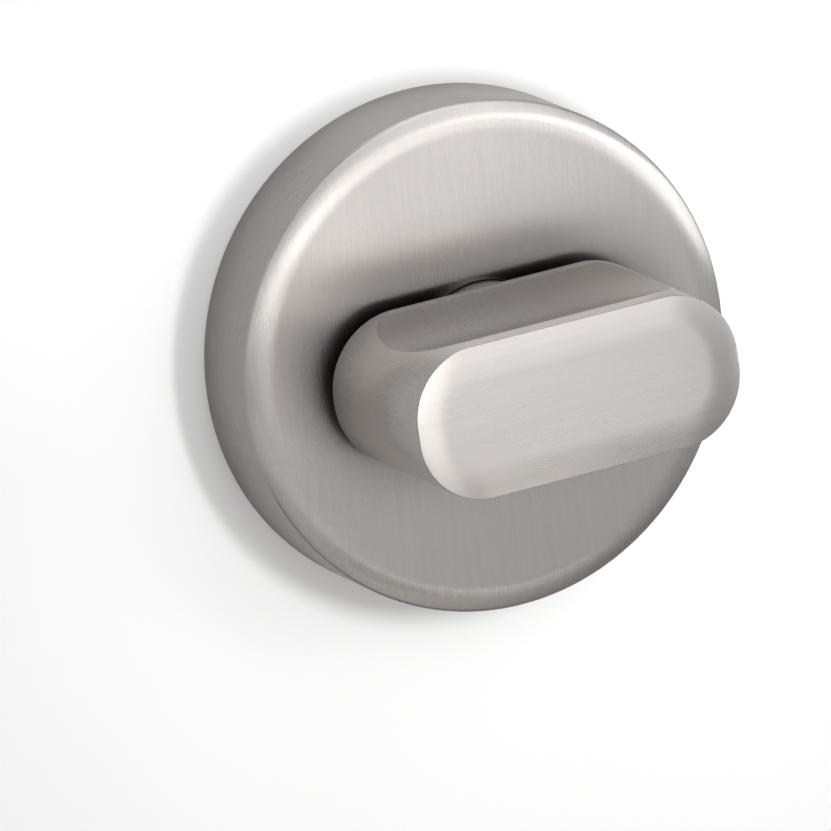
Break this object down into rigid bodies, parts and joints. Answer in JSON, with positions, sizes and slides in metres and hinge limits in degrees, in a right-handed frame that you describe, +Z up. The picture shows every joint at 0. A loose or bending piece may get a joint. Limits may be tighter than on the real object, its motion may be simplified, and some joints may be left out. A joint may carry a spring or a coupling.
{
  "type": "bathroom thumb turn lock",
  "caption": "Round satin steel door rose with an oblong scooped thumb turn on a square spindle, held through the door by two screws.",
  "frame": {"origin": "centre of the rose's back face, where it meets the door", "axes": "+Y into the door along the spindle, +Z up, the turn sticks out towards -Y"},
  "size_m": [0.052, 0.0945, 0.052],
  "materials": {
    "satin_steel": "satin, fine straight brushing",
    "plated_steel": "zinc plated, semi-bright",
    "spring_steel": "oiled black spring steel",
    "black_nylon": "moulded, fine matt texture",
    "white_acetal": "turned and moulded, smooth matt"
  },
  "bodies": {
    "rose": {"rose_cover": "satin_steel", "rose_base": "black_nylon", "cover_grip_ring": "spring_steel", "neck_guide_ring": "white_acetal", "bearing_bush": "white_acetal", "disc_spring": "spring_steel", "slide_washer": "white_acetal", "stop_pin": "plated_steel", "fixing_screw_left": "plated_steel", "fixing_screw_right": "plated_steel", "screw_washer_left": "plated_steel", "screw_washer_right": "plated_steel"},
    "turn": {"thumb_turn": "satin_steel", "spindle": "plated_steel", "spindle_pin": "spring_steel", "stop_washer": "plated_steel", "retaining_ring": "spring_steel"}
  },
  "joints": [
    {"name": "lock_turn", "type": "hinge", "parent": "rose", "child": "turn", "pos_m": [0, 0, 0], "axis": [0, 1, 0], "range_deg": [0, 90]}
  ]
}
